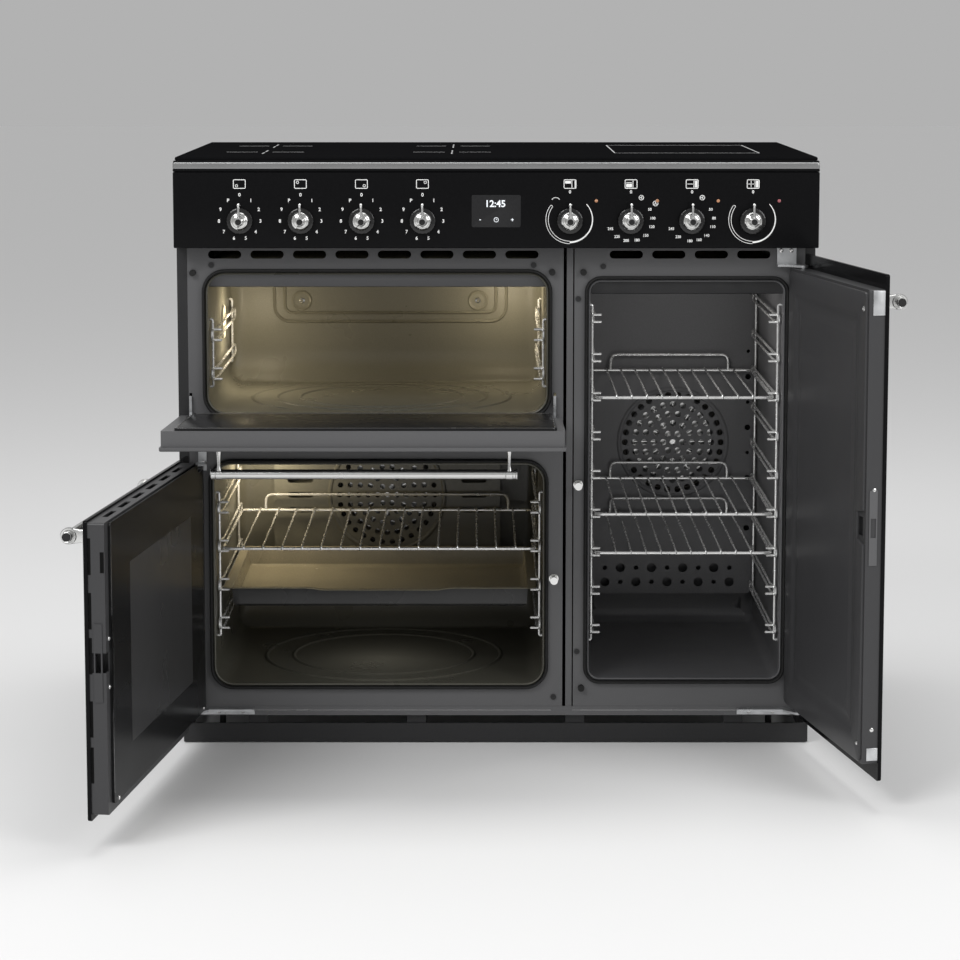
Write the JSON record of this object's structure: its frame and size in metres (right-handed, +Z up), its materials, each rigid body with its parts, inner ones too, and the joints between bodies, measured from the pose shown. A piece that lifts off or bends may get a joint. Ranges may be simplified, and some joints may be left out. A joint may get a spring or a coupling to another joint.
{
  "type": "range cooker",
  "caption": "Freestanding range cooker with an induction hob, a drop-door grill oven above a main oven and a tall oven, shelves on racks, dials and bar handles",
  "frame": {"origin": "at floor level, mid-width, in the plane of the side doors' hinge pins", "axes": "+X to the viewer's right, +Y to the back of the cooker, +Z up"},
  "size_m": [1.2131, 1.1619, 0.938],
  "materials": {
    "cabinet_black": "satin",
    "frame_enamel": "semi-gloss enamel",
    "oven_enamel": "speckled gloss enamel",
    "galvanised": "matt",
    "zinc": "satin",
    "chrome": "polished",
    "element_steel": "oxidised",
    "fan_steel": "satin",
    "seal_rubber": "matt",
    "foot_plastic": "matt",
    "inner_plastic": "matt",
    "mineral_wool": "matt",
    "lamp_glass": "clear",
    "black_glass": "gloss",
    "fascia_black": "gloss",
    "display_plastic": "gloss",
    "lamp_amber": "gloss",
    "tray_enamel": "gloss enamel"
  },
  "bodies": {
    "cabinet": {"side_panels": "cabinet_black", "back_panel": "galvanised", "base_tray": "galvanised", "feet": "foot_plastic", "plinth": "cabinet_black", "centre_post": "frame_enamel", "front_frame_left": "frame_enamel", "front_frame_right": "frame_enamel", "cavity_grill": "oven_enamel", "cavity_main": "oven_enamel", "cavity_tall": "oven_enamel", "insulation": "mineral_wool", "door_seals": "seal_rubber", "side_racks": "chrome", "fan_cover_main": "oven_enamel", "fan_cover_tall": "oven_enamel", "heating_elements": "element_steel", "fan_motors": "galvanised", "oven_lamps": "lamp_glass", "hob_frame": "cabinet_black", "hob_glass": "black_glass", "hob_modules": "inner_plastic", "control_panel": "fascia_black", "display_module": "display_plastic", "indicator_lamps": "lamp_amber", "rotary_switches": "inner_plastic", "latch_studs": "chrome", "door_bumpers": "seal_rubber", "frame_screws": "zinc", "hinge_brackets": "zinc", "terminal_block": "foot_plastic"},
    "grill_door": {"grill_door_skin": "black_glass", "grill_door_core": "frame_enamel", "grill_door_glass": "black_glass", "grill_door_handle": "chrome"},
    "main_door": {"main_door_skin": "black_glass", "main_door_core": "frame_enamel", "main_door_glass": "black_glass", "main_door_handle": "chrome", "main_door_fittings": "zinc"},
    "tall_door": {"tall_door_skin": "black_glass", "tall_door_core": "frame_enamel", "tall_door_liner": "oven_enamel", "tall_door_handle": "chrome", "tall_door_fittings": "zinc"},
    "knob_1": {"knob_1": "chrome"},
    "knob_2": {"knob_2": "chrome"},
    "knob_3": {"knob_3": "chrome"},
    "knob_4": {"knob_4": "chrome"},
    "knob_5": {"knob_5": "chrome"},
    "knob_6": {"knob_6": "chrome"},
    "knob_7": {"knob_7": "chrome"},
    "knob_8": {"knob_8": "chrome"},
    "fan_main": {"fan_main": "fan_steel"},
    "fan_tall": {"fan_tall": "fan_steel"},
    "shelf_main": {"shelf_main": "chrome"},
    "tray_main": {"tray_main": "tray_enamel"},
    "shelf_tall_1": {"shelf_tall_1": "chrome"},
    "shelf_tall_2": {"shelf_tall_2": "chrome"},
    "shelf_tall_3": {"shelf_tall_3": "chrome"}
  },
  "joints": [
    {"name": "grill_door_hinge", "type": "hinge", "parent": "cabinet", "child": "grill_door", "pos_m": [0, -0.001, 0.515], "axis": [1, 0, 0], "range_deg": [-87, 0]},
    {"name": "main_door_hinge", "type": "hinge", "parent": "cabinet", "child": "main_door", "pos_m": [-0.479, 0, 0.25], "axis": [0, 0, -1], "range_deg": [-97.5, 0]},
    {"name": "tall_door_hinge", "type": "hinge", "parent": "cabinet", "child": "tall_door", "pos_m": [0.479, 0, 0.4], "axis": [0, 0, 1], "range_deg": [-100.5, 0]},
    {"name": "knob_1_turn", "type": "hinge", "parent": "cabinet", "child": "knob_1", "pos_m": [-0.3969, -0.02, 0.8392], "axis": [0, 1, 0], "range_deg": [0, 327]},
    {"name": "knob_2_turn", "type": "hinge", "parent": "cabinet", "child": "knob_2", "pos_m": [-0.3026, -0.02, 0.8392], "axis": [0, 1, 0], "range_deg": [0, 327]},
    {"name": "knob_3_turn", "type": "hinge", "parent": "cabinet", "child": "knob_3", "pos_m": [-0.2083, -0.02, 0.8392], "axis": [0, 1, 0], "range_deg": [0, 327]},
    {"name": "knob_4_turn", "type": "hinge", "parent": "cabinet", "child": "knob_4", "pos_m": [-0.114, -0.02, 0.8392], "axis": [0, 1, 0], "range_deg": [0, 327]},
    {"name": "knob_5_turn", "type": "hinge", "parent": "cabinet", "child": "knob_5", "pos_m": [0.114, -0.02, 0.8392], "axis": [0, 1, 0], "range_deg": [0, 300]},
    {"name": "knob_6_turn", "type": "hinge", "parent": "cabinet", "child": "knob_6", "pos_m": [0.2083, -0.02, 0.8392], "axis": [0, 1, 0], "range_deg": [0, 300]},
    {"name": "knob_7_turn", "type": "hinge", "parent": "cabinet", "child": "knob_7", "pos_m": [0.3026, -0.02, 0.8392], "axis": [0, 1, 0], "range_deg": [0, 300]},
    {"name": "knob_8_turn", "type": "hinge", "parent": "cabinet", "child": "knob_8", "pos_m": [0.3969, -0.02, 0.8392], "axis": [0, 1, 0], "range_deg": [0, 300]},
    {"name": "fan_main_spin", "type": "hinge", "parent": "cabinet", "child": "fan_main", "pos_m": [-0.1855, 0.45, 0.335], "axis": [0, 1, 0], "continuous": true},
    {"name": "fan_tall_spin", "type": "hinge", "parent": "cabinet", "child": "fan_tall", "pos_m": [0.3075, 0.45, 0.427], "axis": [0, 1, 0], "continuous": true},
    {"name": "shelf_main_slide", "type": "slide", "parent": "cabinet", "child": "shelf_main", "axis": [0, -1, 0], "range_m": [0, 0.25]},
    {"name": "tray_main_slide", "type": "slide", "parent": "cabinet", "child": "tray_main", "axis": [0, -1, 0], "range_m": [0, 0.25]},
    {"name": "shelf_tall_1_slide", "type": "slide", "parent": "cabinet", "child": "shelf_tall_1", "axis": [0, -1, 0], "range_m": [0, 0.25]},
    {"name": "shelf_tall_2_slide", "type": "slide", "parent": "cabinet", "child": "shelf_tall_2", "axis": [0, -1, 0], "range_m": [0, 0.25]},
    {"name": "shelf_tall_3_slide", "type": "slide", "parent": "cabinet", "child": "shelf_tall_3", "axis": [0, -1, 0], "range_m": [0, 0.25]}
  ]
}
